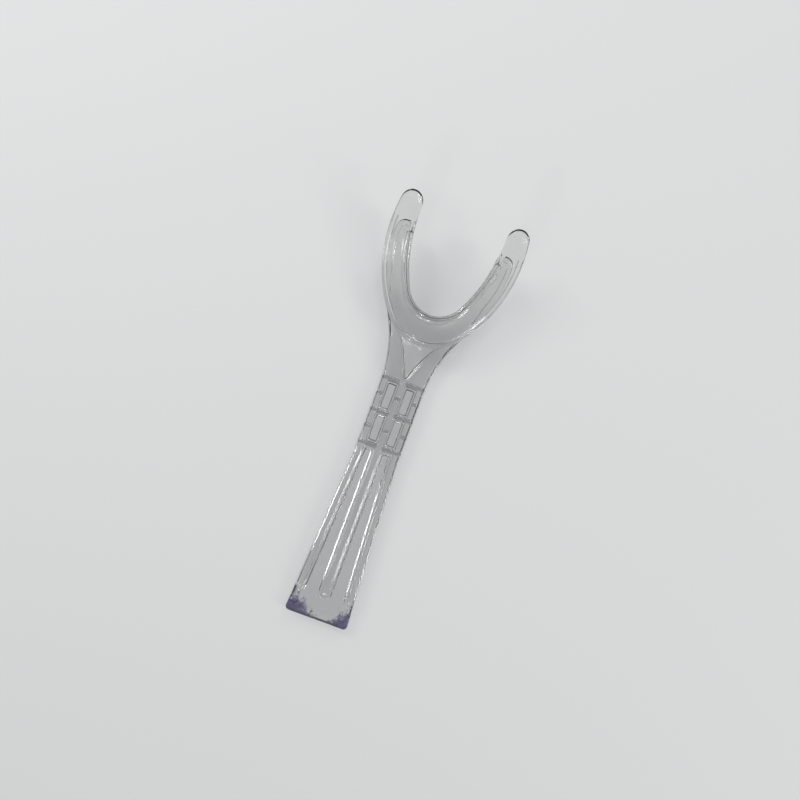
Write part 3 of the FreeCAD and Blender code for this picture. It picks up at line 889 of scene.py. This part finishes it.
# %% Lamps
def softbox(name, spot, size, strength):
    """An area lamp at spot, aimed at the middle of the part."""
    light = bpy.data.lights.new(name, "AREA")
    light.shape = "RECTANGLE"
    light.size, light.size_y = size
    light.energy = strength * math.pi * size[0] * size[1]
    lamp = bpy.data.objects.new(name, light)
    lamp.location = spot
    lamp.rotation_euler = (-Vector(spot)).to_track_quat("-Z", "Y").to_euler()
    bpy.context.scene.collection.objects.link(lamp)
    print(name, "lamp is", round(Vector(spot).length, 2), "m away")


softbox("left", (-0.62, 0.30, 0.62), (0.20, 0.36), 17.0)
softbox("right", (0.66, -0.10, 0.55), (0.16, 0.36), 13.0)
softbox("far", (0.10, 0.75, 0.60), (0.30, 0.12), 20.0)
softbox("near", (-0.15, -0.70, 0.62), (0.10, 0.10), 40.0)

# %% Room
# Each pair is how far up the room a grey lies, from 0 level to 1 overhead, and the grey.
GREYS = ((0.0, 0.55), (0.1, 0.5), (0.2, 0.15), (0.6, 0.13), (0.9, 0.14), (1.0, 0.2))
room = bpy.data.worlds.new("room")
room.use_nodes = True
bpy.context.scene.world = room
sky = room.node_tree.nodes["Background"]
direction = add(room.node_tree, "ShaderNodeTexCoord")
upward = add(room.node_tree, "ShaderNodeSeparateXYZ")
shades = add(room.node_tree, "ShaderNodeValToRGB")
wire(
    room.node_tree,
    ((direction, "Generated"), (upward, "Vector")),
    ((upward, "Z"), (shades, "Fac")),
    ((shades, "Color"), (sky, "Color")),
)
stops = shades.color_ramp.elements
while len(stops) < len(GREYS):
    stops.new(0.5)
for stop, (height, grey) in zip(stops, GREYS):
    stop.position = height
    stop.color = (grey, grey, grey, 1.0)
print("room has", len(stops), "greys")

# %% [markdown]
# ## Camera
# The camera looks almost straight down, tipped slightly to the left and towards the
# handle, and is turned so that the handle points to the lower left. Three directions
# square to each other make its matrix: right, up, and back towards the camera.

# %% Camera
TURN = math.radians(20.5)
TIP_LEFT = math.radians(-1.5)
TIP_TO_HANDLE = math.radians(-2.5)
DISTANCE = 0.4
FIELD_OF_VIEW = math.radians(41.74)
target = Vector((0.00118, 0.0083, 0.0))

back = Vector((math.sin(TIP_LEFT), math.sin(TIP_TO_HANDLE), 0.0))
back.z = math.sqrt(1.0 - back.x**2 - back.y**2)
across = (Vector((1.0, 0.0, 0.0)) - back.x * back).normalized()
along = back.cross(across)
right = math.cos(TURN) * across + math.sin(TURN) * along
up = -math.sin(TURN) * across + math.cos(TURN) * along
turned = Matrix((right, up, back)).transposed().to_4x4()

camera_data = bpy.data.cameras.new("camera")
camera_data.angle = FIELD_OF_VIEW
camera = bpy.data.objects.new("camera", camera_data)
camera.matrix_world = Matrix.Translation(target + DISTANCE * back) @ turned
bpy.context.scene.collection.objects.link(camera)
bpy.context.scene.camera = camera
bpy.context.scene.view_settings.view_transform = "Standard"
print("camera stands", DISTANCE, "m from", [round(value, 4) for value in target])
